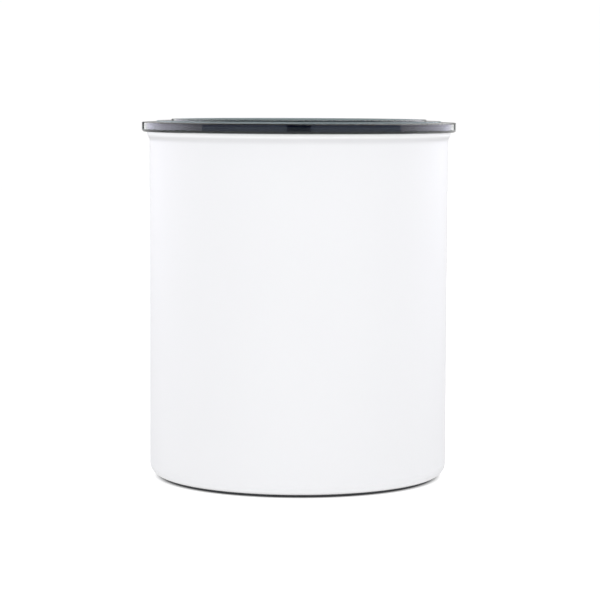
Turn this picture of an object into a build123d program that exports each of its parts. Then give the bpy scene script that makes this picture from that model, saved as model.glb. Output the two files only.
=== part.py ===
from build123d import *
import math
import os

# A one-kilogram coffee canister with a valve: a drawn steel can on a rubber base, a push-down inner
# lid that presses the air out through its valve, and a clear smoke cover over the mouth.
# A bail handle on the inner lid carries a cam: folded flat it holds the valve shut, raised it frees
# the valve, and a small spring lifts it off its seat.
#
# Sizes are in millimetres. +Z is up, the origin is the middle of the base on the table, and the
# front is towards -Y. The inner lid is at rest part of the way down, on the beans, handle folded.

# Canister
rim_height = 198.2  # table to the top of the rolled rim
body_radius = 84.5  # outside of the wall
wall = 0.8
base_corner = 6.3  # outside rounding where the wall turns into the base
hem_stand_out = 1.3  # how far the rolled rim stands out past the wall
hem_height = 3.9  # rolled rim, from its lower shoulder to its top
hem_cove = 2.6  # height of the flare below the rolled rim
hem_cove_round = 2.4
hem_shoulder_round = 1.1

# Rubber base
pad_thickness = 1.4
pad_inset = 0.2  # from the end of the base corner
pad_edge_round = 0.4
pad_hollow = 0.5  # how far the middle stays off the table
pad_foot_width = 17.0
pad_groove_width = 1.4
pad_groove_depth = 0.5
pad_groove_count = 2

# Clear outer lid
lid_overhang = 4.4  # past the canister's wall
skirt_height = 5.45
skirt_wall = 2.1
skirt_round = 1.5
lid_edge_round = 0.7
flange_thickness = 1.95
flange_rise = 0.4  # lid's edge to the foot of the low step
lid_step_inset = 8.5  # lid's edge to the low step
lid_step_height = 0.85  # above the lid's edge
lid_step_round = 0.2
stack_ring_inset = 16.7  # lid's edge to the outside of the raised ring
stack_ring_width = 3.0
stack_ring_height = 1.75  # above the lid's edge
stack_ring_round = 0.4
panel_recess = 3.2  # raised ring's top to the panel inside it
panel_thickness = 2.1
panel_round = 1.2
plug_rib_gap = 0.8  # to the canister's mouth
plug_rib_thickness = 1.6
plug_rib_depth = 3.0

# Seal inside the outer lid
lid_seal_thickness = 1.0
lid_seal_leg_depth = 2.9
soft_clearance = 0.3  # between a soft seal and the surface that it wipes

# Inner lid
inner_lid_gap = 3.2  # canister's mouth to the inner lid's rim
dish_depth = 14.0
plate_thickness = 2.4
rim_wall = 2.4  # behind the gasket's groove
rim_skirt_depth = 15.0  # dish floor to the bottom of the rim
rim_edge_round = 1.2
dish_round = 3.0
groove_depth = 2.6
groove_height = 16.0
retainer_flange = 2.0
underside_depth = 6.0  # dish floor to the ends of the ribs and bosses
rib_count = 12
rib_thickness = 1.8
boss_ring_wall = 2.2
headroom = 5.0  # raised handle to the outer lid's panel
bottom_clearance = 0.8  # inner lid to the canister's floor at the end of its travel

# Wiper gasket
gasket_band = 2.4
gasket_lip_count = 2
gasket_lip_root = 1.8
gasket_lip_tip = 1.0
gasket_lip_rise = 3.2
gasket_lip_pitch = 8.0
gasket_first_lip = 1.6  # band's lower edge to the root of the first lip

# Valve housing
seat_radius = 11.0
seat_width = 1.6
flow_gap = 2.0  # round the valve's cap
well_wall = 2.2
well_depth = 4.5
well_floor = 2.4
chamber_gap = 5.2  # well to the housing's wall
housing_wall = 2.45
housing_depth = 14.4
housing_gap = 0.15  # to the hole in the inner lid
housing_flange = 2.2
flange_margin = 3.6  # screws to the flange's edge
guide_wall = 2.0
guide_length = 1.6  # below the well's floor
vent_count = 6
vent_radius = 1.6
o_ring_drop = 4.5
o_ring_groove_depth = 1.5
o_ring_groove_height = 2.2
o_ring_ease = 0.02  # between the ring and the walls that it bears on

# Housing screws
screw_count = 4
screw_setback = 4.4  # edge of the inner lid's hole to the screws
screw_radius = 1.4
screw_length = 8.0
screw_head_radius = 2.6
screw_head_height = 1.7
screw_head_round = 0.8
screw_hole_gap = 0.2
screw_boss_radius = 3.2

# Handle and its pins
pivot_height = 9.5  # above the dish floor
ear_setback = 5.3  # flange's edge to the outside of each ear
ear_thickness = 4.5
ear_wall = 2.8  # round the pin
ear_foot_width = 12.0
ear_edge_round = 0.5
pin_radius = 2.0
pin_grip = 9.0  # length of each pin inside the handle
pin_chamfer = 0.3
running_clearance = 0.05
handle_side_gap = 0.4  # to each ear
handle_reach = 43.5  # pivot to the middle of the grip
handle_half_width = 36.0
handle_corner = 11.0
arm_end_margin = 0.55  # arm to the barrel's end
arm_neck = 9.5  # pivot to where the arms turn outwards
arm_flare = 19.0  # pivot to where the arms are at their widest
arm_neck_round = 5.0
handle_bar_width = 7.5
handle_bar_thickness = 6.4
handle_edge_round = 1.6
barrel_wall = 2.15  # round the pins

# Cam and valve
valve_lift = 2.8
cam_half_width = 6.0
cam_flat = 1.0
cam_clearance = 0.15
cam_steps = 8
plunger_overhang = 2.0  # cap past the middle of the seat
plunger_cap = 2.0
plunger_round = 0.6
stem_radius = 2.2
valve_seal_thickness = 1.6
clip_thickness = 0.6
clip_rim = 1.8  # past the stem
clip_groove_depth = 0.6
clip_mouth = 2.4
clip_play = 0.2
stem_tail = 0.3

# Valve spring
spring_clearance = 0.85  # to the stem inside it and the seal outside it
spring_wire_radius = 0.35
spring_turns = 3

# Screen under the valve
screen_thickness = 1.2
screen_seat = 1.0
screen_fit = 0.1
screen_hole_radius = 1.6
screen_ring_count = 2
screen_holes_per_ring = 6  # first ring, and as many more in each ring after it

cut_overrun = 1.0  # how far a cut runs past the surface that it opens

# Heights and radii that several pieces share
mouth_radius = body_radius - wall
hem_radius = body_radius + hem_stand_out
floor_height = pad_thickness + wall
lid_radius = body_radius + lid_overhang
flange_bottom = rim_height + soft_clearance + lid_seal_thickness
lid_edge_height = flange_bottom + flange_thickness
skirt_inside = lid_radius - skirt_wall
plug_rib_outside = mouth_radius - plug_rib_gap
stack_ring_radius = lid_radius - stack_ring_inset
stack_ring_top = lid_edge_height + stack_ring_height
panel_top = stack_ring_top - panel_recess
panel_bottom = panel_top - panel_thickness

dish_floor = panel_bottom - headroom - handle_reach - handle_bar_width / 2 - pivot_height
pivot_z = dish_floor + pivot_height
inner_lid_radius = mouth_radius - inner_lid_gap
groove_floor_radius = inner_lid_radius - groove_depth
dish_radius = groove_floor_radius - rim_wall
underside = dish_floor - underside_depth
groove_bottom = underside
groove_top = groove_bottom + groove_height
rim_bottom = dish_floor - rim_skirt_depth
press_travel = rim_bottom - bottom_clearance - floor_height

plunger_radius = seat_radius + plunger_overhang
well_radius = plunger_radius + flow_gap
housing_inside = well_radius + well_wall + chamber_gap
housing_radius = housing_inside + housing_wall
housing_hole = housing_radius + housing_gap
screw_circle = housing_hole + screw_setback
housing_flange_radius = screw_circle + flange_margin
screen_radius = housing_inside + screen_seat
well_floor_top = dish_floor - well_depth
well_floor_bottom = well_floor_top - well_floor
guide_bottom = well_floor_bottom - guide_length
housing_bottom = dish_floor - housing_depth
housing_flange_top = dish_floor + housing_flange
screen_top = housing_bottom + screen_thickness

pin_bore = pin_radius + running_clearance
barrel_radius = pin_bore + barrel_wall
cam_reach = barrel_radius + valve_lift
cap_top = pivot_z - cam_reach - cam_clearance
cap_bottom = cap_top - plunger_cap
valve_seal_bottom = cap_bottom - valve_seal_thickness
seat_top = valve_seal_bottom - soft_clearance
clip_top = guide_bottom - valve_lift - clip_play
stem_groove = stem_radius - clip_groove_depth
ear_gap = housing_flange_radius - ear_setback - ear_thickness
barrel_half_length = ear_gap - handle_side_gap
arm_spacing = barrel_half_length - arm_end_margin - handle_bar_width / 2
spring_radius = stem_radius + spring_clearance + spring_wire_radius
spring_rise = cap_bottom - well_floor_top - 2 * spring_wire_radius


def turned(outline):
    """A solid of revolution about Z from corners written as (radius, height, rounding)."""
    corners = [(radius, height) for radius, height, rounding in outline]
    roundings = [rounding for radius, height, rounding in outline]
    edge = FilletPolyline(*corners, radius=roundings, close=True)
    return revolve(Plane.XZ * make_face(edge), Axis.Z)


def disc(radius, bottom, top):
    """An upright cylinder between two heights."""
    return Pos(0, 0, bottom) * Cylinder(radius, top - bottom, align=(Align.CENTER, Align.CENTER, Align.MIN))


def around(count, radius, shape, start_angle=0):
    """Copies of a shape spaced evenly on a circle about Z."""
    step = 360 / count
    return [Rot(0, 0, start_angle + step * i) * Pos(radius, 0, 0) * shape for i in range(count)]


def canister_shell():
    """The drawn steel can: floor, rounded base corner, straight wall, flare and rolled rim."""
    hem_bottom = rim_height - hem_height
    half_hem = (wall + hem_stand_out) / 2
    hem_top_round = half_hem * 0.9
    return turned([
        (0, pad_thickness, 0),
        (body_radius, pad_thickness, base_corner),
        (body_radius, hem_bottom - hem_cove, hem_cove_round),
        (hem_radius, hem_bottom, hem_shoulder_round),
        (hem_radius, rim_height, hem_top_round),
        (mouth_radius, rim_height, hem_top_round),
        (mouth_radius, floor_height, base_corner - wall),
        (0, floor_height, 0),
    ])


def base_pad():
    """The rubber disc under the base, standing on a grooved outer foot."""
    pad_radius = body_radius - base_corner - pad_inset
    foot_inside = pad_radius - pad_foot_width
    pad = turned([
        (0, pad_hollow, 0),
        (foot_inside, pad_hollow, 0),
        (foot_inside + pad_hollow, 0, 0),
        (pad_radius, 0, pad_edge_round),
        (pad_radius, pad_thickness, 0),
        (0, pad_thickness, 0),
    ])
    spacing = pad_foot_width / (pad_groove_count + 1)
    for i in range(pad_groove_count):
        middle = foot_inside + spacing * (i + 1)
        groove_outside = disc(middle + pad_groove_width / 2, -cut_overrun, pad_groove_depth)
        groove_inside = disc(middle - pad_groove_width / 2, -cut_overrun, pad_groove_depth)
        pad -= groove_outside - groove_inside
    return pad


def outer_lid():
    """The clear cover: skirt over the rolled rim, flange, low step, stacking ring and sunken panel."""
    skirt_bottom = lid_edge_height - skirt_height
    step_radius = lid_radius - lid_step_inset
    step_top = lid_edge_height + lid_step_height
    stack_ring_inside = stack_ring_radius - stack_ring_width
    plug_rib_inside = plug_rib_outside - plug_rib_thickness
    plug_rib_bottom = flange_bottom - plug_rib_depth
    return turned([
        (0, panel_bottom, 0),
        (stack_ring_inside, panel_bottom, 0),
        (stack_ring_radius, flange_bottom, 0),
        (plug_rib_inside, flange_bottom, 0),
        (plug_rib_inside, plug_rib_bottom, 0),
        (plug_rib_outside, plug_rib_bottom, 0),
        (plug_rib_outside, flange_bottom, 0),
        (skirt_inside, flange_bottom, 0),
        (skirt_inside, skirt_bottom, 0),
        (lid_radius, skirt_bottom, skirt_round),
        (lid_radius, lid_edge_height, lid_edge_round),
        (step_radius, lid_edge_height + flange_rise, lid_step_round),
        (step_radius, step_top, lid_step_round),
        (stack_ring_radius, step_top, lid_step_round),
        (stack_ring_radius, stack_ring_top, stack_ring_round),
        (stack_ring_inside, stack_ring_top, stack_ring_round),
        (stack_ring_inside, panel_top, panel_round),
        (0, panel_top, 0),
    ])


def outer_lid_seal():
    """The silicone ring in the lid's channel, with a leg that grips the rolled rim."""
    leg_inside = hem_radius + soft_clearance
    seal_bottom = flange_bottom - lid_seal_thickness
    return turned([
        (plug_rib_outside, seal_bottom, 0),
        (leg_inside, seal_bottom, 0),
        (leg_inside, flange_bottom - lid_seal_leg_depth, 0),
        (skirt_inside, flange_bottom - lid_seal_leg_depth, 0),
        (skirt_inside, flange_bottom, 0),
        (plug_rib_outside, flange_bottom, 0),
    ])


def inner_lid_plate():
    """The moulded dish of the inner lid: raised rim over the gasket, ribs and bosses below."""
    rim_top = dish_floor + dish_depth
    plate_bottom = dish_floor - plate_thickness
    plate = turned([
        (housing_hole, plate_bottom, 0),
        (dish_radius, plate_bottom, 0),
        (dish_radius, groove_bottom, 0),
        (groove_floor_radius, groove_bottom, 0),
        (groove_floor_radius, groove_top, 0),
        (inner_lid_radius, groove_top, 0),
        (inner_lid_radius, rim_top, rim_edge_round),
        (dish_radius, rim_top, rim_edge_round),
        (dish_radius, dish_floor, dish_round),
        (housing_hole, dish_floor, 0),
    ])
    boss_outside = housing_hole + boss_ring_wall
    boss_ring = disc(boss_outside, underside, dish_floor)
    rib_length = dish_radius - housing_hole + rim_wall / 2
    rib_middle = housing_hole + rib_length / 2
    hanging = (Align.CENTER, Align.CENTER, Align.MAX)
    rib = Box(rib_length, rib_thickness, plate_bottom - underside, align=hanging)
    ribs = around(rib_count, rib_middle, Pos(0, 0, plate_bottom) * rib, 180 / rib_count)
    screw_boss = disc(screw_boss_radius, underside, dish_floor - plate_thickness / 2)
    pilot = disc(screw_radius, underside - cut_overrun, dish_floor + cut_overrun)
    bosses = around(screw_count, screw_circle, screw_boss, 180 / screw_count)
    pilots = around(screw_count, screw_circle, pilot, 180 / screw_count)
    plate = plate + [boss_ring] + ribs + bosses
    return plate - disc(housing_hole, underside - cut_overrun, rim_top) - pilots


def gasket_retainer():
    """The ring under the dish's wall that closes the gasket's groove from below."""
    return turned([
        (dish_radius, rim_bottom, 0),
        (groove_floor_radius, rim_bottom, 0),
        (groove_floor_radius, groove_bottom - retainer_flange, 0),
        (inner_lid_radius, groove_bottom - retainer_flange, retainer_flange / 4),
        (inner_lid_radius, groove_bottom, 0),
        (dish_radius, groove_bottom, 0),
    ])


def wiper_gasket():
    """The silicone gasket in the rim's groove, with two lips that wipe the canister's wall."""
    band_outside = groove_floor_radius + gasket_band
    lip_radius = mouth_radius - soft_clearance
    outline = [(groove_floor_radius, groove_bottom, 0), (band_outside, groove_bottom, 0)]
    for i in range(gasket_lip_count):
        root = groove_bottom + gasket_first_lip + gasket_lip_pitch * i
        tip = root + gasket_lip_rise
        outline += [
            (band_outside, root, 0),
            (lip_radius, tip, 0),
            (lip_radius, tip + gasket_lip_tip, 0),
            (band_outside, root + gasket_lip_root, 0),
        ]
    return turned(outline + [(band_outside, groove_top, 0), (groove_floor_radius, groove_top, 0)])


def valve_housing():
    """The insert that carries the valve and the handle: flange, well, vents, seat, guide and ears."""
    o_ring_middle = dish_floor - o_ring_drop
    groove_radius = housing_radius - o_ring_groove_depth
    guide_radius = stem_radius + guide_wall
    bore = stem_radius + running_clearance
    flange_round = housing_flange / 4
    housing = turned([
        (bore, guide_bottom, 0),
        (guide_radius, guide_bottom, 0),
        (guide_radius, well_floor_bottom, 0),
        (well_radius + well_wall, well_floor_bottom, 0),
        (well_radius + well_wall, dish_floor, 0),
        (housing_inside, dish_floor, 0),
        (housing_inside, screen_top, 0),
        (screen_radius, screen_top, 0),
        (screen_radius, housing_bottom, 0),
        (housing_radius, housing_bottom, 0),
        (housing_radius, o_ring_middle - o_ring_groove_height / 2, 0),
        (groove_radius, o_ring_middle - o_ring_groove_height / 2, 0),
        (groove_radius, o_ring_middle + o_ring_groove_height / 2, 0),
        (housing_radius, o_ring_middle + o_ring_groove_height / 2, 0),
        (housing_radius, dish_floor, 0),
        (housing_flange_radius, dish_floor, 0),
        (housing_flange_radius, housing_flange_top, flange_round),
        (well_radius, housing_flange_top, flange_round),
        (well_radius, well_floor_top, 0),
        (seat_radius + seat_width / 2, well_floor_top, 0),
        (seat_radius + seat_width / 2, seat_top, seat_width / 4),
        (seat_radius - seat_width / 2, seat_top, seat_width / 4),
        (seat_radius - seat_width / 2, well_floor_top, 0),
        (bore, well_floor_top, 0),
    ])
    vent = disc(vent_radius, well_floor_bottom - cut_overrun, well_floor_top + cut_overrun)
    screw_hole_radius = screw_radius + screw_hole_gap
    screw_hole = disc(screw_hole_radius, dish_floor - cut_overrun, housing_flange_top + cut_overrun)
    vent_circle = (guide_radius + seat_radius - seat_width / 2) / 2
    housing -= around(vent_count, vent_circle, vent)
    housing -= around(screw_count, screw_circle, screw_hole, 180 / screw_count)
    return housing + [handle_ear(1), handle_ear(-1)]


def handle_ear(side):
    """One upright ear of the housing, with the hole for the handle's pin."""
    foot_height = housing_flange_top - pivot_z
    foot = Edge.make_line((-ear_foot_width / 2, foot_height), (ear_foot_width / 2, foot_height))
    outline = make_hull([Edge.make_circle(pin_radius + ear_wall), foot]) - Circle(pin_radius)
    plate = extrude(outline, ear_thickness)
    plate = fillet(plate.edges() | GeomType.LINE | Axis.Z, ear_edge_round)
    inside = ear_gap if side > 0 else -ear_gap - ear_thickness
    return Plane((inside, 0, pivot_z), x_dir=(0, 1, 0), z_dir=(1, 0, 0)) * plate


def housing_o_ring():
    """The ring that seals the housing in the inner lid."""
    groove_radius = housing_radius - o_ring_groove_depth
    section_radius = (housing_hole - groove_radius) / 2 - o_ring_ease
    middle_radius = (housing_hole + groove_radius) / 2
    return Pos(0, 0, dish_floor - o_ring_drop) * Torus(middle_radius, section_radius)


def housing_screw(index):
    """One of the screws that hold the housing's flange down on the inner lid."""
    shank_bottom = housing_flange_top - screw_length
    screw = turned([
        (0, shank_bottom, 0),
        (screw_radius, shank_bottom, 0),
        (screw_radius, housing_flange_top, 0),
        (screw_head_radius, housing_flange_top, 0),
        (screw_head_radius, housing_flange_top + screw_head_height, screw_head_round),
        (0, housing_flange_top + screw_head_height, 0),
    ])
    return around(screw_count, screw_circle, screw, 180 / screw_count)[index]


def handle_pin(side):
    """A steel pin pressed into one ear, on which the handle turns."""
    length = ear_thickness + handle_side_gap + pin_grip
    pin = Cylinder(pin_radius, length, rotation=(0, 90, 0))
    pin = chamfer(pin.edges(), pin_chamfer)
    return Pos(side * (ear_gap + ear_thickness - length / 2), 0, pivot_z) * pin


def cam_outline():
    """The cam's outline about the pivot, in Y and Z, with the handle folded.

    Its reach towards the flat valve cap falls evenly from the lobe to the barrel over a quarter
    turn, so each point is the reach along one direction less the slope along the tangent.
    """
    slope = valve_lift / (math.pi / 2)
    flank = []
    for i in range(cam_steps + 1):
        turn = math.pi / 2 * i / cam_steps
        reach = cam_reach - slope * turn
        flank.append((
            reach * math.sin(turn) - slope * math.cos(turn),
            -reach * math.cos(turn) - slope * math.sin(turn),
        ))
    lobe_start = flank[0]
    return make_face([
        Spline(*flank),
        Line(flank[-1], (barrel_radius, 0)),
        ThreePointArc((barrel_radius, 0), (0, barrel_radius), (-barrel_radius, 0)),
        Line((-barrel_radius, 0), (lobe_start[0] - cam_flat, lobe_start[1])),
        Line((lobe_start[0] - cam_flat, lobe_start[1]), lobe_start),
    ])


def handle():
    """The bail handle, folded towards the front: cross barrel, cam, flared arms and grip."""
    side = [
        (arm_spacing, 0),
        (arm_spacing, -arm_neck),
        (handle_half_width, -arm_flare),
        (handle_half_width, -handle_reach),
    ]
    corners = side + [(-x, y) for x, y in reversed(side)]
    rounds = [arm_neck_round, arm_neck_round, handle_corner, handle_corner, arm_neck_round, arm_neck_round]
    bail = trace(FilletPolyline(*corners, radius=rounds), handle_bar_width)
    bail = extrude(bail, handle_bar_thickness / 2, both=True)
    bail = fillet((bail.faces() | Plane.XY).edges(), handle_edge_round)
    barrel = Cylinder(barrel_radius, 2 * barrel_half_length, rotation=(0, 90, 0))
    cam_plane = Plane((-cam_half_width, 0, 0), x_dir=(0, 1, 0), z_dir=(1, 0, 0))
    cam = cam_plane * extrude(cam_outline(), 2 * cam_half_width)
    bore_length = pin_grip + running_clearance + cut_overrun
    bore = Cylinder(pin_bore, 2 * bore_length, rotation=(0, 90, 0))
    body = bail + barrel + cam
    for end in (-barrel_half_length, barrel_half_length):
        body -= Pos(end, 0, 0) * bore
    return Pos(0, 0, pivot_z) * body


def valve_plunger():
    """The valve's cap and stem, which the cam holds down and the spring lifts."""
    stem_bottom = clip_top - clip_thickness - stem_tail
    return turned([
        (0, stem_bottom, 0),
        (stem_radius, stem_bottom, 0),
        (stem_radius, clip_top - clip_thickness, 0),
        (stem_groove, clip_top - clip_thickness, 0),
        (stem_groove, clip_top, 0),
        (stem_radius, clip_top, 0),
        (stem_radius, cap_bottom, 0),
        (plunger_radius, cap_bottom, 0),
        (plunger_radius, cap_top, plunger_round),
        (0, cap_top, 0),
    ])


def valve_seal():
    """The silicone ring under the cap that closes on the seat."""
    bore = spring_radius + spring_wire_radius + spring_clearance
    return turned([
        (bore, valve_seal_bottom, 0),
        (plunger_radius, valve_seal_bottom, valve_seal_thickness / 4),
        (plunger_radius, cap_bottom, 0),
        (bore, cap_bottom, 0),
    ])


def stem_clip():
    """The open spring clip that keeps the plunger in its guide."""
    clip_radius = stem_radius + clip_rim
    ring = disc(clip_radius, clip_top - clip_thickness, clip_top)
    ring -= disc(stem_groove, clip_top - clip_thickness, clip_top)
    mouth = Box(clip_mouth, 2 * clip_radius, 2 * clip_thickness)
    return ring - Pos(0, clip_radius, clip_top) * mouth


def valve_spring():
    """The compression spring between the well's floor and the valve cap."""
    coil = Helix(spring_rise / spring_turns, spring_rise, spring_radius)
    section = Plane(coil @ 0, z_dir=coil % 0) * Circle(spring_wire_radius)
    wire = sweep(section, coil, is_frenet=True)
    return Pos(0, 0, well_floor_top + spring_wire_radius) * wire


def valve_screen():
    """The perforated disc that keeps beans out of the valve."""
    ring_spacing = screen_radius / (screen_ring_count + 1)
    screen = disc(screen_radius - screen_fit, housing_bottom, screen_top)
    hole = disc(screen_hole_radius, housing_bottom - cut_overrun, screen_top + cut_overrun)
    screen -= hole
    for ring in range(1, screen_ring_count + 1):
        screen -= around(screen_holes_per_ring * ring, ring_spacing * ring, hole)
    return screen


pieces = {
    "canister_shell": canister_shell,
    "base_pad": base_pad,
    "outer_lid": outer_lid,
    "outer_lid_seal": outer_lid_seal,
    "inner_lid_plate": inner_lid_plate,
    "gasket_retainer": gasket_retainer,
    "wiper_gasket": wiper_gasket,
    "valve_housing": valve_housing,
    "housing_o_ring": housing_o_ring,
    "handle": handle,
    "valve_plunger": valve_plunger,
    "valve_seal": valve_seal,
    "stem_clip": stem_clip,
    "valve_spring": valve_spring,
    "valve_screen": valve_screen,
}

solids = {name: make() for name, make in pieces.items()}
solids["handle_pin_right"] = handle_pin(1)
solids["handle_pin_left"] = handle_pin(-1)
for index in range(screw_count):
    solids[f"housing_screw_{index + 1}"] = housing_screw(index)

os.makedirs("parts", exist_ok=True)
for name, solid in solids.items():
    export_step(solid, f"parts/{name}.step")

print("spring gap between turns", round(spring_rise / spring_turns - 2 * spring_wire_radius, 3))
print("inner lid travels down", round(press_travel, 3), "valve lifts", valve_lift)
print("pivot height", round(pivot_z, 3), "overall height", round(stack_ring_top, 3))
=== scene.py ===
import math

import bmesh
import bpy
from bpy.props import FloatProperty, FloatVectorProperty, PointerProperty
from mathutils import Matrix, Vector


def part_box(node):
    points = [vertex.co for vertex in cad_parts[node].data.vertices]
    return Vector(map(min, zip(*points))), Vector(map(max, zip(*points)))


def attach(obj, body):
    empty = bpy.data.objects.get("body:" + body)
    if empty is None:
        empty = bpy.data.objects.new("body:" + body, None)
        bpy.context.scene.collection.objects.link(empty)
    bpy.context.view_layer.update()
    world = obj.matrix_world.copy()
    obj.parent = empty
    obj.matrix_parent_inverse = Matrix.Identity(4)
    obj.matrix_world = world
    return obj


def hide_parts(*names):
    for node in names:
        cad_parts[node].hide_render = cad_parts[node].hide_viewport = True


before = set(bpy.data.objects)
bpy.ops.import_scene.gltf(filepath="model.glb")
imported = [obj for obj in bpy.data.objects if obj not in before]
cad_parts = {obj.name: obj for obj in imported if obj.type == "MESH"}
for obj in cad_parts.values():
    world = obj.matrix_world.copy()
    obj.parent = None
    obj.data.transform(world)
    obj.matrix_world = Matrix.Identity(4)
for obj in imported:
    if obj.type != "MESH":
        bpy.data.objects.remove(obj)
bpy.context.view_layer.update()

bl_info = {
    "name": "Coffee canister with valve",
    "version": (1, 0, 0),
    "blender": (4, 5, 0),
    "location": "3D View > Sidebar > Canister",
    "description": "Finishes, small parts and studio for a coffee canister with a valve lid",
    "category": "Object",
}

SHELL_LOW, SHELL_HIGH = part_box("canister_shell")
LID_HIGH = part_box("outer_lid")[1]
PAD_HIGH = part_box("base_pad")[1]
SCREWS = [f"housing_screw_{i + 1}" for i in range(4)]
RENDER_PIXELS = 600  # the render is as wide as it is high
RING_STEPS = 240  # sides of a turned ring
SCREW_STEPS = 48  # sides of a screw
TABLE_STEPS = 96  # sides of the round table
TABLE_RADIUS = 4  # metres
LAMP_TARGET = Vector((0, 0, 0.1))  # what every soft lamp points at
BACKDROP_WHITE = 1.02  # a shade over white, so that the background stays clean

# Colours that don't change with the settings
GASKET_GREY = (0.035, 0.036, 0.038)
OVERCAP_SEAL_BLACK = (0.006, 0.006, 0.008)
VALVE_SEAL_MILK = (0.55, 0.56, 0.55)
HANDLE_BLACK = (0.012, 0.012, 0.013)
# colour of the overcap's even milky haze and of its painted highlight
HAZE_AND_HIGHLIGHT_COLOUR = (0.62, 0.75, 0.80)

# The soft lamps: name, place, width, height, and share of the lamp strength
LAMPS = (
    ("left_softbox", (-1.7, -1.3, 0.55), 1.4, 0.8, 1.35),
    ("front_softbox", (0.1, -2.2, 0.8), 1.4, 0.8, 0.38),
    ("right_softbox", (1.7, -1.3, 0.55), 1.4, 0.8, 1.35),
    ("back_left_softbox", (-1.5, 1.8, 0.9), 1.4, 0.8, 0.9),
    ("back_right_softbox", (1.5, 1.8, 0.9), 1.4, 0.8, 0.9),
    ("top_softbox", (0, 0.3, 1.9), 1.4, 1.4, 0.5),
)


# Settings


class CanisterFinishes(bpy.types.PropertyGroup):
    """Colours and surface values of the canister's materials."""

    coat_white: FloatVectorProperty(
        name="Powder coat", description="White of the canister's outside", subtype="COLOR",
        size=3, min=0, max=1, default=(0.842, 0.844, 0.861))
    coat_grain: FloatProperty(
        name="Coat grain", description="Size of the ripple in the powder coat",
        unit="LENGTH", min=0.0002, default=0.0014)
    steel_sheet: FloatProperty(
        name="Sheet", description="Thickness of the can's steel", unit="LENGTH", default=0.0008)
    base_corner: FloatProperty(
        name="Base corner", description="Outside rounding between the can's wall and base",
        unit="LENGTH", default=0.0063)
    hem_stand_out: FloatProperty(
        name="Rolled rim", description="How far the rolled rim stands out past the wall",
        unit="LENGTH", default=0.0013)
    hem_height: FloatProperty(
        name="Rim height", description="Height of the rolled rim", unit="LENGTH", default=0.0039)
    coat_turn_in: FloatProperty(
        name="Coat inside the mouth", description="How far the powder coat reaches down inside the rim",
        unit="LENGTH", default=0.0024)
    # painted shade: how tall the grey band under the rolled rim is, and how much of the white it takes
    cove_shade_height: FloatProperty(
        name="Cove height", unit="LENGTH", default=0.0046,
        description="Height of the hollow under the rolled rim, where the coat is thin")
    cove_shade_depth: FloatProperty(
        name="Cove grey", description="How much of the white the thin coat loses there", default=0.15)
    smoke_tint: FloatVectorProperty(
        name="Smoke tint", description="Colour that the overcap's plastic lets through", subtype="COLOR",
        size=3, min=0, max=1, default=(0.08, 0.19, 0.15))
    smoke_density: FloatProperty(
        name="Smoke density", description="How fast light fades inside the overcap's plastic, per metre",
        min=0, default=450)
    haze: FloatProperty(
        name="Haze", description="Share of the overcap's surface that looks milky", default=0.007)
    edge_drop: FloatProperty(
        name="Edge drop", description="From the overcap's raised ring down to its outer edge",
        unit="LENGTH", default=0.00175)
    edge_width: FloatProperty(
        name="Edge width", description="Width of the overcap's outer edge, out to its low step",
        unit="LENGTH", default=0.0085)
    ring_inset: FloatProperty(
        name="Ring inset", description="From the overcap's outer edge to the middle of its raised ring",
        unit="LENGTH", default=0.0182)
    # painted highlight: the milky haze on the raised ring's inner side and on the step
    painted_highlight_haze: FloatProperty(
        name="Frosting", default=0.40,
        description="Share of the raised ring's inner side and of the step that looks milky")
    rubber_black: FloatVectorProperty(
        name="Base rubber", description="Black of the base pad", subtype="COLOR",
        size=3, min=0, max=1, default=(0.034, 0.034, 0.036))
    charcoal: FloatVectorProperty(
        name="Inner lid", description="Charcoal of the inner lid's plastic", subtype="COLOR",
        size=3, min=0, max=1, default=(0.022, 0.023, 0.026))
    housing_grey: FloatVectorProperty(
        name="Valve housing", description="Grey of the valve housing's plastic", subtype="COLOR",
        size=3, min=0, max=1, default=(0.085, 0.088, 0.095))
    steel: FloatVectorProperty(
        name="Stainless steel", description="Colour of the bare steel", subtype="COLOR",
        size=3, min=0, max=1, default=(0.60, 0.59, 0.57))


class SealSizes(bpy.types.PropertyGroup):
    """Section of the seal inside the overcap: a flat web under the flange, and a leg down the skirt."""

    web_width: FloatProperty(
        name="Web width", description="From the plug rib to the skirt", unit="LENGTH", default=0.0039)
    web_thickness: FloatProperty(
        name="Web thickness", description="Under the overcap's flange", unit="LENGTH", default=0.0010)
    leg_thickness: FloatProperty(
        name="Leg thickness", description="Between the skirt and the rolled rim",
        unit="LENGTH", default=0.0007)
    seating_gap: FloatProperty(
        name="Seating gap", description="Air between the seal and the overcap's walls",
        unit="LENGTH", default=0.00006)
    edge_round: FloatProperty(
        name="Edge rounding", description="Rounding of the seal's edges", unit="LENGTH", default=0.00015)


class ScrewSizes(bpy.types.PropertyGroup):
    """Sizes of the housing screws and of the cross recess in their heads."""

    head_height: FloatProperty(
        name="Head height", description="Height of the pan head", unit="LENGTH", default=0.0017)
    head_round: FloatProperty(
        name="Head rounding", description="Rounding of the head's top, as a share of its height",
        default=0.42)
    shank_share: FloatProperty(
        name="Shank", description="Radius of the shank, as a share of the head's", default=1.4 / 2.6)
    recess_length: FloatProperty(
        name="Recess length", description="Cross recess, end to end", unit="LENGTH", default=0.0030)
    recess_width: FloatProperty(
        name="Recess width", description="Width of each slot of the cross", unit="LENGTH", default=0.00065)
    recess_depth: FloatProperty(
        name="Recess depth", description="Depth of the cross", unit="LENGTH", default=0.0009)


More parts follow.
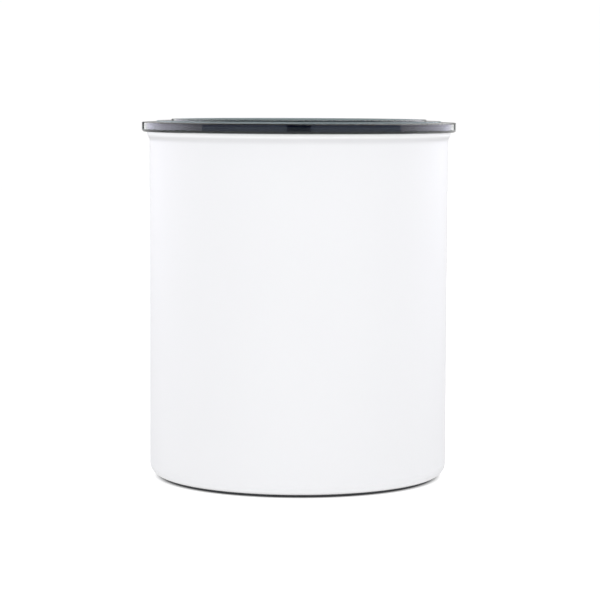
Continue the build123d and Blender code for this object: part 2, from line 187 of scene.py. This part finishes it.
class StudioSettings(bpy.types.PropertyGroup):
    """The camera's place, and the light."""

    camera_distance: FloatProperty(
        name="Distance", description="Camera to the canister's axis, level", unit="LENGTH", default=1.300)
    camera_height: FloatProperty(
        name="Height", description="Camera above the floor", unit="LENGTH", default=0.2155)
    camera_side: FloatProperty(
        name="Side step", description="Camera to the right of the axis", unit="LENGTH", default=0.001)
    camera_tilt: FloatProperty(
        name="Tilt", description="Camera below level", subtype="ANGLE", default=math.radians(5.066))
    camera_roll: FloatProperty(
        name="Roll", description="Camera turned about its own axis", subtype="ANGLE",
        default=math.radians(0.216))
    focal_pixels: FloatProperty(
        name="Focal length in pixels", description="Focal length over the width of one pixel",
        default=2286.5)
    lamp_power: FloatProperty(
        name="Lamp strength", description="Strength of the soft lamps, in watts", default=7.5)
    horizon_level: FloatProperty(
        name="Horizon level", description="Soft light from low down", default=0.85)
    sky_level: FloatProperty(
        name="Sky level", description="Soft light from halfway up", default=0.6)
    zenith_level: FloatProperty(
        name="Zenith level", description="Soft light from overhead", default=0.6)
    table_glow: FloatProperty(
        name="Table glow", description="Light that the white table gives by itself at the canister",
        default=0.60)
    table_rim_glow: FloatProperty(
        name="Outer table glow", description="How much more it gives away from the canister", default=0.04)
    table_backing: FloatProperty(
        name="Table backing", description="How much whiter the table is to the camera", default=0.25)
    # painted contact shadow: the table's glow is cut in this width round the base pad
    painted_shadow_width: FloatProperty(
        name="Contact shadow", description="Width of the dark line on the table round the base pad",
        unit="LENGTH", default=0.0058)
    table_white: FloatProperty(
        name="Table white", description="Share of the light on it that the table returns", default=0.40)
    left_box_start: FloatProperty(
        name="Left softbox", description="Where the left softbox starts, from the camera round",
        subtype="ANGLE", default=math.radians(73.2))
    right_box_start: FloatProperty(
        name="Right softbox", description="Where the right softbox starts, from the camera round",
        subtype="ANGLE", default=math.radians(78.0))
    box_end: FloatProperty(
        name="Softbox ends", description="Where both softboxes end, from the camera round",
        subtype="ANGLE", default=math.radians(156))
    box_level: FloatProperty(
        name="Softbox level", description="Brightness of the softboxes in a reflection", default=2.75)
    front_level: FloatVectorProperty(
        name="Front level", subtype="COLOR", size=3, min=0, max=1, default=(0.62, 0.68, 1.0),
        description="Brightness and tint of the room behind the camera in a reflection")
    upper_level: FloatProperty(
        name="Upper level", description="Brightness of the room above the camera in a reflection",
        default=0.5)
    ceiling_level: FloatProperty(
        name="Ceiling level", description="Brightness of the ceiling in a reflection", default=0.6)
    back_level: FloatProperty(
        name="Back level", description="Brightness of the far wall in a reflection", default=0.42)


# Shader maths


class Wire:
    """A socket whose value can be used in Python arithmetic."""

    def __init__(self, finish, socket):
        self.finish = finish
        self.socket = socket

    def math(self, operation, *others):
        values = dict(enumerate((self, *others)))
        return self.finish.node("ShaderNodeMath", {"operation": operation}, values)

    def reflected(self, operation, other):
        return self.finish.node("ShaderNodeMath", {"operation": operation}, {0: other, 1: self})

    def __add__(self, other):
        return self.math("ADD", other)

    __radd__ = __add__

    def __mul__(self, other):
        return self.math("MULTIPLY", other)

    __rmul__ = __mul__

    def __sub__(self, other):
        return self.math("SUBTRACT", other)

    def __rsub__(self, other):
        return self.reflected("SUBTRACT", other)

    def __gt__(self, other):
        return self.math("GREATER_THAN", other)

    def __abs__(self):
        return self.math("ABSOLUTE")


class Finish:
    """A node tree that is filled by naming a node's type, its settings and its sockets' values."""

    def __init__(self, owner):
        owner.use_nodes = True
        self.tree = owner.node_tree
        self.tree.nodes.clear()

    def node(self, kind, settings=None, values=None, output=0):
        """Adds one node and returns one of its outputs."""
        made = self.tree.nodes.new(kind)
        for name, setting in (settings or {}).items():
            setattr(made, name, setting)
        for key, value in (values or {}).items():
            self.put(made.inputs[key], value)
        return Wire(self, made.outputs[output]) if made.outputs else None

    def put(self, socket, value):
        """Links a socket to another node, or sets its value."""
        if isinstance(value, Wire):
            self.tree.links.new(value.socket, socket)
        elif isinstance(value, tuple) and socket.type == "RGBA" and len(value) == 3:
            socket.default_value = (*value, 1)
        else:
            socket.default_value = value

    def parts(self, vector):
        """The x, y and z of a vector."""
        split = self.tree.nodes.new("ShaderNodeSeparateXYZ")
        self.tree.links.new(vector.socket, split.inputs[0])
        return [Wire(self, split.outputs[i]) for i in range(3)]

    def place(self):
        """Where the shaded point is on the canister, as a vector and as its x, y and z."""
        point = self.node("ShaderNodeTexCoord", output="Object")
        return point, self.parts(point)

    def rays(self, *kinds):
        """For each kind of ray, a value that is 1 for such a ray and 0 for any other."""
        path = self.tree.nodes.new("ShaderNodeLightPath")
        return [Wire(self, path.outputs[f"Is {kind} Ray"]) for kind in kinds]

    def radius(self, x, y):
        """Distance from the canister's axis."""
        return (x * x + y * y).math("SQRT")

    def noise(self, point, grain, detail, roughness=0.5):
        """Even noise from 0 to 1 whose lumps are about one grain across."""
        return self.node("ShaderNodeTexNoise", {"noise_dimensions": "3D"}, {
            "Vector": point, "Scale": 1 / grain, "Detail": detail, "Roughness": roughness})

    def stretch(self, point, factors):
        """The point with each of its axes scaled, for streaks."""
        return self.node("ShaderNodeVectorMath", {"operation": "MULTIPLY"}, {0: point, 1: factors})

    def step(self, value, low, high):
        """0 below low, 1 above high, and smooth between."""
        return self.node("ShaderNodeMapRange", {"interpolation_type": "SMOOTHSTEP"}, {
            "Value": value, "From Min": low, "From Max": high})

    def mix(self, amount, first, second):
        """A colour between two others."""
        values = {0: amount, 6: first, 7: second}
        return self.node("ShaderNodeMix", {"data_type": "RGBA"}, values, output=2)

    def bump(self, height, distance):
        """A normal that follows a height from 0 to 1, which stands for this distance."""
        return self.node("ShaderNodeBump", {}, {"Distance": distance, "Height": height})


def scaled(colour, share):
    """A colour whose three numbers are all multiplied by one share."""
    return tuple(share * c for c in colour)


def grey(level):
    """A colour of one level."""
    return (level,) * 3


def rise(degrees):
    """The height of a direction of unit length that points this far above level."""
    return math.sin(math.radians(degrees))


def material(name, fill):
    """A material whose node tree is filled by one function, which returns the values of its shader."""
    made = bpy.data.materials.new(name)
    finish = Finish(made)
    values = fill(finish)
    volume = values.pop("Volume", None)
    haze_amount, haze_colour = values.pop("Haze", (0, None))
    surface = finish.node("ShaderNodeBsdfPrincipled", {}, values)
    if haze_amount:
        haze = finish.node("ShaderNodeBsdfDiffuse", {}, {"Color": haze_colour})
        surface = finish.node("ShaderNodeMixShader", {}, {0: haze_amount, 1: surface, 2: haze})
    outputs = {"Surface": surface}
    if volume:
        outputs["Volume"] = volume
    finish.node("ShaderNodeOutputMaterial", {}, outputs)
    return made


# Materials


def powder_coated_steel(looks):
    """White powder coat outside and round the rim, with painted light on the rim and the base corner and
    painted shade under the rim, and bare spun steel inside the can.
    """
    corner_radius = SHELL_HIGH.x - looks.hem_stand_out - looks.base_corner
    corner_height = SHELL_LOW.z + looks.base_corner
    sheet_middle = looks.base_corner - looks.steel_sheet / 2
    soft_edge = looks.steel_sheet / 4
    coat_end = SHELL_HIGH.z - looks.coat_turn_in
    hem_low = SHELL_HIGH.z - looks.hem_height
    cove_shade_middle = hem_low - looks.cove_shade_height / 3
    foot_light_top = SHELL_LOW.z + looks.base_corner * 0.6
    foot_light_bottom = SHELL_LOW.z + looks.base_corner * 0.2
    foot_light_share = 0.7  # share of the rim's painted light that the base corner gets
    cloudy_white = scaled(looks.coat_white, 0.975)
    # painted light: a whiter coat on the rolled rim and on the base corner
    painted_light_white = tuple(min(0.97, c) for c in scaled(looks.coat_white, 1.14))
    dull_steel = scaled(looks.steel, 0.8)
    cloud_size = 0.06
    streak_size = 0.012
    streak_squeeze = (1, 1, 40)  # flat streaks round the wall, as spinning leaves them
    streak_depth = 0.3  # against the coat's ripple
    bare_metal = 0.7
    ripple_depth = 0.00003

    def fill(finish):
        point, (x, y, z) = finish.place()
        outwards = (finish.radius(x, y) - corner_radius).math("MAXIMUM", 0)
        downwards = (corner_height - z).math("MAXIMUM", 0)
        inside = finish.step(finish.radius(outwards, downwards), sheet_middle, sheet_middle - soft_edge)
        inside = inside * finish.step(z, coat_end + soft_edge, coat_end)
        ripple = finish.noise(point, looks.coat_grain, detail=1.5)
        cloud = finish.noise(point, cloud_size, detail=1)
        # painted light: the coat is whitened on the rolled rim and, in part, on the base corner
        painted_rim_light = finish.step(z, hem_low - looks.steel_sheet, hem_low + looks.steel_sheet)
        # painted shade: the coat is greyed in the hollow under the rolled rim
        painted_cove_shade = finish.step(z, hem_low - looks.cove_shade_height, cove_shade_middle)
        painted_cove_shade = painted_cove_shade * finish.step(z, hem_low, cove_shade_middle)
        painted_foot_light = finish.step(z, foot_light_top, foot_light_bottom)
        shade = finish.mix(cloud * 0.5, looks.coat_white[:], cloudy_white)
        shade = finish.mix(painted_rim_light.math("MAXIMUM", painted_foot_light * foot_light_share), shade, painted_light_white)
        shade = finish.mix(painted_cove_shade * looks.cove_shade_depth, shade, grey(0.0))
        streaks = finish.noise(finish.stretch(point, streak_squeeze), streak_size, detail=3)
        bare = finish.mix(streaks, dull_steel, looks.steel[:])
        return {
            "Base Color": finish.mix(inside, shade, bare),
            "Metallic": inside * bare_metal,
            "Roughness": 0.42 + cloud * 0.05 - inside * (0.12 - streaks * 0.1),
            "Normal": finish.bump(ripple * (1 - inside) + streaks * inside * streak_depth, ripple_depth),
        }

    return material("white_powder_coat", fill)


def smoke_plastic(looks):
    """Polished see-through plastic, darker where it is thicker, with a painted highlight of milky haze
    along its ring and step.
    """
    edge_height = LID_HIGH.z - looks.edge_drop
    step_radius = LID_HIGH.x - looks.edge_width
    ring_middle = LID_HIGH.x - looks.ring_inset
    highlight_start = 0.0001  # above the overcap's edge
    highlight_full = 0.0003
    ring_edge = 0.0005
    step_half = (0.0005, 0.0003)  # off the step's middle: where the painted highlight starts, and where it is full
    wave_size = 0.02
    wave_share = 0.04
    wave_depth = 0.0002

    def fill(finish):
        point, (x, y, z) = finish.place()
        wave = finish.noise(point, wave_size, detail=1)
        out = finish.radius(x, y)
        above_edge = finish.step(z, edge_height + highlight_start, edge_height + highlight_full)
        # painted highlight on the ring's inner side and on the step
        ring_highlight = above_edge * finish.step(out, ring_middle, ring_middle - ring_edge)
        step_highlight = above_edge * finish.step(abs(out - step_radius), *step_half)
        return {
            "Base Color": grey(1.0),
            "Roughness": 0.015 + wave * 0.02,
            "IOR": 1.52,
            "Transmission Weight": 1.0,
            "Normal": finish.bump(wave * wave_share, wave_depth),
            "Haze": ((ring_highlight + step_highlight) * looks.painted_highlight_haze + looks.haze, HAZE_AND_HIGHLIGHT_COLOUR),
            "Volume": finish.node("ShaderNodeVolumeAbsorption", {}, {
                "Color": looks.smoke_tint[:], "Density": looks.smoke_density}),
        }

    return material("smoke_plastic", fill)


def base_rubber(looks):
    """Matte black rubber with a fine grain and a little dust."""
    grain_size = 0.0007
    grain_depth = 0.00004
    dust_size = 0.011
    dusty = scaled(looks.rubber_black, 1.9)

    def fill(finish):
        point, _ = finish.place()
        grain = finish.noise(point, grain_size, detail=3)
        dust = finish.noise(point, dust_size, detail=4)
        return {
            "Base Color": finish.mix(dust, looks.rubber_black[:], dusty),
            "Roughness": 0.62 + dust * 0.18,
            "Normal": finish.bump(grain, grain_depth),
        }

    return material("base_rubber", fill)


def silicone(name, shade, sheen=0.35):
    """Soft silicone with the faint bloom that it picks up in use."""
    bloom_size = 0.009
    grain_size = 0.0005
    grain_depth = 0.00001
    bloomed = tuple(c * 1.25 + 0.004 for c in shade)  # paler, also where the silicone is black

    def fill(finish):
        point, _ = finish.place()
        bloom = finish.noise(point, bloom_size, detail=3)
        grain = finish.noise(point, grain_size, detail=2)
        return {
            "Base Color": finish.mix(bloom, shade, bloomed),
            "Roughness": 0.42 + bloom * 0.14,
            "Sheen Weight": sheen,
            "Subsurface Weight": 0.08,
            "Subsurface Scale": 0.0015,
            "Normal": finish.bump(grain, grain_depth),
        }

    return material(name, fill)


def grained_plastic(name, shade, roughness, grain_size, grain_height):
    """Moulded plastic with a fine etched grain, a little glossier where it has been handled."""
    wear_size = 0.018
    worn = scaled(shade, 1.18)

    def fill(finish):
        point, _ = finish.place()
        grain = finish.noise(point, grain_size, detail=3, roughness=0.6)
        wear = finish.noise(point, wear_size, detail=3)
        return {
            "Base Color": finish.mix(wear, shade, worn),
            "Roughness": roughness - wear * 0.12,
            "Normal": finish.bump(grain, grain_height),
        }

    return material(name, fill)


def plain_steel(looks):
    """Stainless steel with fine drawn lines."""
    line_size = 0.0009
    line_squeeze = (1, 1, 6)
    line_depth = 0.000004
    dull_steel = scaled(looks.steel, 0.86)

    def fill(finish):
        point, _ = finish.place()
        lines = finish.noise(finish.stretch(point, line_squeeze), line_size, detail=2)
        return {
            "Base Color": finish.mix(lines, dull_steel, looks.steel[:]),
            "Metallic": 1.0,
            "Roughness": 0.24 + lines * 0.14,
            "Normal": finish.bump(lines, line_depth),
        }

    return material("stainless_steel", fill)


# Mesh tools


def clear_selection():
    """Leaves nothing selected, in object mode."""
    if bpy.context.object and bpy.context.object.mode != "OBJECT":
        bpy.ops.object.mode_set(mode="OBJECT")
    bpy.ops.object.select_all(action="DESELECT")


def name_new(name):
    """Names the primitive that was just added, and puts its place into its mesh."""
    made = bpy.context.object
    made.name = name
    made.data.name = name
    bpy.ops.object.transform_apply(location=True, rotation=True, scale=True)
    return made


def pick_faces(direction):
    """In edit mode, selects just the faces that look upwards, for 1, or downwards, for -1."""
    mesh = bmesh.from_edit_mesh(bpy.context.object.data)
    for face in mesh.faces:
        face.select_set(False)
    for face in mesh.faces:
        if face.normal.z * direction > 0.5:
            face.select_set(True)
    bmesh.update_edit_mesh(bpy.context.object.data)


def cut_away(target, cutter):
    """Cuts one object out of another and deletes the cutter."""
    clear_selection()
    bpy.context.view_layer.objects.active = target
    target.select_set(True)
    cut = target.modifiers.new("cut", "BOOLEAN")
    cut.operation = "DIFFERENCE"
    cut.solver = "EXACT"
    cut.object = cutter
    bpy.ops.object.modifier_apply(modifier=cut.name)
    bpy.data.objects.remove(cutter)


def turned_ring(name, corners, edge_round):
    """A ring about the canister's axis, traced from corner to corner of its section (radius, height)."""
    clear_selection()
    radius, height = corners[0]
    bpy.ops.mesh.primitive_circle_add(vertices=RING_STEPS, radius=radius, location=(0, 0, height))
    ring = name_new(name)
    bpy.ops.object.mode_set(mode="EDIT")
    bpy.ops.mesh.select_all(action="SELECT")
    for next_radius, next_height in corners[1:] + corners[:1]:
        bpy.ops.mesh.extrude_region_move(TRANSFORM_OT_translate={"value": (0, 0, next_height - height)})
        growth = next_radius / radius
        bpy.ops.transform.resize(value=(growth, growth, 1), center_override=(0, 0, next_height))
        radius, height = next_radius, next_height
    bpy.ops.mesh.select_all(action="SELECT")
    bpy.ops.mesh.remove_doubles(threshold=1e-6)
    bpy.ops.mesh.normals_make_consistent(inside=False)
    bpy.ops.object.mode_set(mode="OBJECT")
    rounding = ring.modifiers.new("rounding", "BEVEL")
    rounding.width = edge_round
    rounding.segments = 2
    rounding.limit_method = "ANGLE"
    rounding.angle_limit = math.radians(40)
    bpy.ops.object.modifier_apply(modifier=rounding.name)
    bpy.ops.object.shade_smooth_by_angle(angle=math.radians(50))
    return ring


def overcap_seal(sizes):
    """The seal in the overcap's channel, a hair's breadth off its walls."""
    low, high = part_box("outer_lid_seal")
    outside = high.x - sizes.seating_gap
    inside = high.x - sizes.web_width + sizes.seating_gap
    top = high.z - sizes.seating_gap
    leg_inside = high.x - sizes.leg_thickness
    web_bottom = high.z - sizes.web_thickness
    return turned_ring("overcap_seal", [
        (inside, top), (outside, top), (outside, low.z),
        (leg_inside, low.z), (leg_inside, web_bottom), (inside, web_bottom),
    ], sizes.edge_round)


def dress(node, finish):
    """Gives a CAD node a finish."""
    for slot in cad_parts[node].material_slots:
        slot.material = finish


def cross_head_screw(name, node, sizes):
    """A pan head screw with a cross recess, in the place of its plain node."""
    low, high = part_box(node)
    middle = (low + high) / 2
    head_radius = (high.x - low.x) / 2
    head_height = sizes.head_height
    clear_selection()
    bpy.ops.mesh.primitive_cylinder_add(
        vertices=SCREW_STEPS, radius=head_radius, depth=head_height,
        location=(middle.x, middle.y, high.z - head_height / 2))
    screw = name_new(name)
    bpy.ops.object.mode_set(mode="EDIT")
    pick_faces(-1)
    bpy.ops.mesh.inset(thickness=head_radius * (1 - sizes.shank_share))
    bpy.ops.mesh.extrude_region_move(
        TRANSFORM_OT_translate={"value": (0, 0, low.z - high.z + head_height)})
    pick_faces(1)
    bpy.ops.mesh.bevel(offset=head_height * sizes.head_round, segments=6, affect="EDGES")
    bpy.ops.object.mode_set(mode="OBJECT")
    for turn in (0, math.pi / 2):
        clear_selection()
        bpy.ops.mesh.primitive_cube_add(size=1, location=(middle.x, middle.y, high.z))
        slot_cutter = name_new("recess_cutter")
        slot_cutter.data.transform(
            Matrix.Translation((middle.x, middle.y, high.z))
            @ Matrix.Rotation(turn, 4, "Z")
            @ Matrix.Diagonal((sizes.recess_length, sizes.recess_width, 2 * sizes.recess_depth, 1))
            @ Matrix.Translation((-middle.x, -middle.y, -high.z)))
        cut_away(screw, slot_cutter)
    clear_selection()
    screw.select_set(True)
    bpy.context.view_layer.objects.active = screw
    bpy.ops.object.shade_smooth_by_angle(angle=math.radians(35))
    return screw


# Operators


class CANISTER_OT_can(bpy.types.Operator):
    """Coats the can and finishes its rubber base"""

    bl_idname = "canister.can"
    bl_label = "Can and base"

    def execute(self, context):
        looks = context.scene.canister_finishes
        dress("canister_shell", powder_coated_steel(looks))
        dress("base_pad", base_rubber(looks))
        return {"FINISHED"}


class CANISTER_OT_overcap(bpy.types.Operator):
    """Finishes the smoke overcap and its seal"""

    bl_idname = "canister.overcap"
    bl_label = "Overcap"

    def execute(self, context):
        looks = context.scene.canister_finishes
        dress("outer_lid", smoke_plastic(looks))
        seal = overcap_seal(context.scene.seal_sizes)
        seal.data.materials.append(silicone("overcap_silicone", OVERCAP_SEAL_BLACK, sheen=0.0))
        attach(seal, "outer_lid")
        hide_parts("outer_lid_seal")
        return {"FINISHED"}


class CANISTER_OT_inner_lid(bpy.types.Operator):
    """Finishes the inner lid, its gasket and the valve"""

    bl_idname = "canister.inner_lid"
    bl_label = "Inner lid and valve"

    def execute(self, context):
        looks = context.scene.canister_finishes
        steel = plain_steel(looks)
        dark_silicone = silicone("gasket_silicone", GASKET_GREY)
        housing = grained_plastic(
            "housing_plastic", looks.housing_grey[:],
            roughness=0.5, grain_size=0.0006, grain_height=0.00001)
        charcoal = grained_plastic(
            "charcoal_plastic", looks.charcoal[:],
            roughness=0.58, grain_size=0.0006, grain_height=0.00002)
        satin_black = grained_plastic(
            "handle_plastic", HANDLE_BLACK,
            roughness=0.34, grain_size=0.0012, grain_height=0.000006)
        dress("inner_lid_plate", charcoal)
        dress("gasket_retainer", charcoal)
        dress("wiper_gasket", dark_silicone)
        dress("housing_o_ring", dark_silicone)
        dress("valve_housing", housing)
        dress("valve_plunger", housing)
        dress("valve_seal", silicone("valve_seal_silicone", VALVE_SEAL_MILK))
        dress("handle", satin_black)
        for node in ("valve_spring", "valve_screen", "stem_clip", "handle_pin_left", "handle_pin_right"):
            dress(node, steel)
        return {"FINISHED"}


class CANISTER_OT_screws(bpy.types.Operator):
    """Models the cross head screws that hold the valve housing"""

    bl_idname = "canister.screws"
    bl_label = "Housing screws"

    def execute(self, context):
        steel = bpy.data.materials["stainless_steel"]
        for node in SCREWS:
            screw = cross_head_screw(f"cross_head_{node}", node, context.scene.screw_sizes)
            screw.data.materials.append(steel)
            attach(screw, "inner_lid")
            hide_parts(node)
        return {"FINISHED"}


class CANISTER_OT_studio(bpy.types.Operator):
    """Sets up the floor, the light and the camera"""

    bl_idname = "canister.studio"
    bl_label = "Studio"

    def execute(self, context):
        studio = context.scene.studio_settings
        light_table(studio)
        soft_sky(context.scene, studio)
        soft_lamps(studio)
        photo_camera(context.scene, studio)
        context.scene.view_settings.view_transform = "Standard"
        return {"FINISHED"}


# Studio


def light_table(studio):
    """A round white table that glows from below and keeps the canister's shadow, with a painted contact
    shadow where its glow is cut round the base pad.
    """
    shadow_start = PAD_HIGH.x - studio.painted_shadow_width / 4
    shadow_end = PAD_HIGH.x + studio.painted_shadow_width
    away_start, away_end = 0.12, 0.35  # metres from the axis
    mirrored_less = 0.6  # share of the glow that polished surfaces don't mirror

    clear_selection()
    bpy.ops.mesh.primitive_circle_add(
        vertices=TABLE_STEPS, radius=TABLE_RADIUS, fill_type="NGON", location=(0, 0, 0))
    table = name_new("light_table")
    made = bpy.data.materials.new("table_white")
    finish = Finish(made)
    matte = finish.node("ShaderNodeBsdfDiffuse", {}, {"Color": grey(studio.table_white)})
    _, (x, y, _) = finish.place()
    out = finish.radius(x, y)
    # painted contact shadow: the glow is cut round the base pad
    clear = finish.step(out, shadow_start, shadow_end)
    away = finish.step(out, away_start, away_end)
    camera, glossy = finish.rays("Camera", "Glossy")
    level = studio.table_glow * (1 - glossy * mirrored_less)
    level = level + away * studio.table_rim_glow + camera * studio.table_backing
    glow = finish.node("ShaderNodeEmission", {}, {
        "Color": finish.mix(level * clear, grey(0.0), grey(1.0)), "Strength": 1.0})
    both = finish.node("ShaderNodeAddShader", {}, {0: matte, 1: glow})
    finish.node("ShaderNodeOutputMaterial", {}, {"Surface": both})
    table.data.materials.append(made)


def mirrored_room(finish, studio, side, back, up):
    """The room that polished surfaces mirror: two softboxes, a far wall, a ceiling and dark cards."""
    # Angles round from the camera
    soft_edge = math.radians(1)
    box_bright_after = math.radians(30)
    box_dims_from = math.radians(135)
    # Edges as pairs: where nothing of the thing shows, and where all of it does
    raised_edge = (0.12, 0.20)
    ceiling_edge = (rise(40), rise(55))
    far_wall_top = (rise(12), rise(8))
    flag_side = (math.radians(166), math.radians(164))
    card_side = (math.radians(8.8), math.radians(8.2))
    card_top = (0.10, 0.09)
    # Shares of the softboxes' level: at their start, at their brightest, at their end, and higher up
    box_first = (0.54, 0.53, 0.62)
    box_full = (1, 0.985, 1.16)
    box_last = 0.8
    box_above = 0.45
    right_fall, right_least = 0.22, 0.14  # the right softbox starts brighter and rises less
    # Levels and colours of the rest
    far_wall_below = 0.8
    flag_black = (0.06, 0.06, 0.07)
    flag_fall = 0.4  # the share that the flag lacks on the right
    card_black = (0.0, 0.0, 0.14)

    turn = abs(side).math("ARCTAN2", 0 - back)
    right = side > 0
    box_start = studio.left_box_start + right * (studio.right_box_start - studio.left_box_start)
    in_box = finish.step(turn, box_start, box_start + soft_edge)
    low = finish.step(abs(up), *far_wall_top)
    behind = finish.step(turn, studio.box_end, studio.box_end + soft_edge) * low
    flag = behind * finish.step(turn, *flag_side)
    card = finish.step(turn, *card_side) * finish.step(abs(up), *card_top)
    raised = finish.step(abs(up), *raised_edge)
    ceiling = finish.step(up, *ceiling_edge)
    fading = finish.step(turn, box_dims_from, studio.box_end)
    rising = finish.step(turn, box_start, box_start + box_bright_after)
    rising = rising * (1 - right * right_fall) + right * right_least

    front = finish.mix(raised, studio.front_level[:], grey(studio.upper_level))
    box = finish.mix(rising, scaled(box_first, studio.box_level), scaled(box_full, studio.box_level))
    box = finish.mix(fading, box, grey(studio.box_level * box_last))
    box = finish.mix(raised, box, grey(studio.box_level * box_above))
    far_wall = finish.mix(up > 0, grey(far_wall_below), grey(studio.back_level))
    room = finish.mix(in_box, front, box)
    room = finish.mix(ceiling, room, grey(studio.ceiling_level))
    room = finish.mix(behind, room, far_wall)
    room = finish.mix(flag * (1 - right * flag_fall), room, flag_black)
    return finish.mix(card, room, card_black)


def soft_sky(scene, studio):
    """White for the camera, an even level for matte surfaces, and a studio round glossy ones."""
    sky_edge = (rise(10), rise(16))
    zenith_edge = (rise(35), rise(50))

    scene.world = bpy.data.worlds.new("studio_sky")
    finish = Finish(scene.world)
    camera, glossy, through = finish.rays("Camera", "Glossy", "Transmission")
    direction = finish.node("ShaderNodeTexCoord", output="Generated")
    side, back, up = finish.parts(direction)
    halfway = finish.step(up, *sky_edge)
    overhead = finish.step(up, *zenith_edge)
    soft = finish.mix(halfway, grey(studio.horizon_level), grey(studio.sky_level))
    soft = finish.mix(overhead, soft, grey(studio.zenith_level))
    room = mirrored_room(finish, studio, side, back, up)
    seen = finish.mix(glossy, soft, room)
    seen = finish.mix(camera.math("MAXIMUM", through), seen, grey(BACKDROP_WHITE))
    sky = finish.node("ShaderNodeBackground", {}, {"Color": seen, "Strength": 1.0})
    finish.node("ShaderNodeOutputWorld", {}, {"Surface": sky})


def soft_lamps(studio):
    """Large lamps round the camera, behind the canister and overhead, that light only matte surfaces."""
    for name, place, width, height, share in LAMPS:
        light = bpy.data.lights.new(name, "AREA")
        light.shape = "RECTANGLE"
        light.size = width
        light.size_y = height
        light.energy = studio.lamp_power * share
        lamp = bpy.data.objects.new(name, light)
        lamp.location = place
        lamp.rotation_euler = (LAMP_TARGET - lamp.location).to_track_quat("-Z", "Y").to_euler()
        lamp.visible_glossy = False
        lamp.visible_transmission = False
        lamp.visible_camera = False
        bpy.context.collection.objects.link(lamp)


def photo_camera(scene, studio):
    """The camera, level with the lid and looking slightly down."""
    optics = bpy.data.cameras.new("photo_camera")
    optics.lens = studio.focal_pixels / RENDER_PIXELS * optics.sensor_width
    camera = bpy.data.objects.new("photo_camera", optics)
    camera.matrix_world = (
        Matrix.Translation((studio.camera_side, -studio.camera_distance, studio.camera_height))
        @ Matrix.Rotation(math.pi / 2 - studio.camera_tilt, 4, "X")
        @ Matrix.Rotation(studio.camera_roll, 4, "Z"))
    bpy.context.collection.objects.link(camera)
    scene.camera = camera


class CANISTER_PT_panel(bpy.types.Panel):
    """Lists the canister's steps"""

    bl_label = "Coffee canister"
    bl_idname = "CANISTER_PT_panel"
    bl_space_type = "VIEW_3D"
    bl_region_type = "UI"
    bl_category = "Canister"

    def draw(self, context):
        for step in STEPS:
            self.layout.operator(step.bl_idname)


GROUPS = (CanisterFinishes, SealSizes, ScrewSizes, StudioSettings)
STEPS = (
    CANISTER_OT_can,
    CANISTER_OT_overcap,
    CANISTER_OT_inner_lid,
    CANISTER_OT_screws,
    CANISTER_OT_studio,
)
CLASSES = GROUPS + STEPS + (CANISTER_PT_panel,)


def register():
    for made in CLASSES:
        bpy.utils.register_class(made)
    bpy.types.Scene.canister_finishes = PointerProperty(type=CanisterFinishes)
    bpy.types.Scene.seal_sizes = PointerProperty(type=SealSizes)
    bpy.types.Scene.screw_sizes = PointerProperty(type=ScrewSizes)
    bpy.types.Scene.studio_settings = PointerProperty(type=StudioSettings)


def unregister():
    del bpy.types.Scene.studio_settings
    del bpy.types.Scene.screw_sizes
    del bpy.types.Scene.seal_sizes
    del bpy.types.Scene.canister_finishes
    for made in reversed(CLASSES):
        bpy.utils.unregister_class(made)


def main():
    register()
    bpy.ops.canister.can()
    bpy.ops.canister.overcap()
    bpy.ops.canister.inner_lid()
    bpy.ops.canister.screws()
    bpy.ops.canister.studio()


if __name__ == "__main__":
    main()
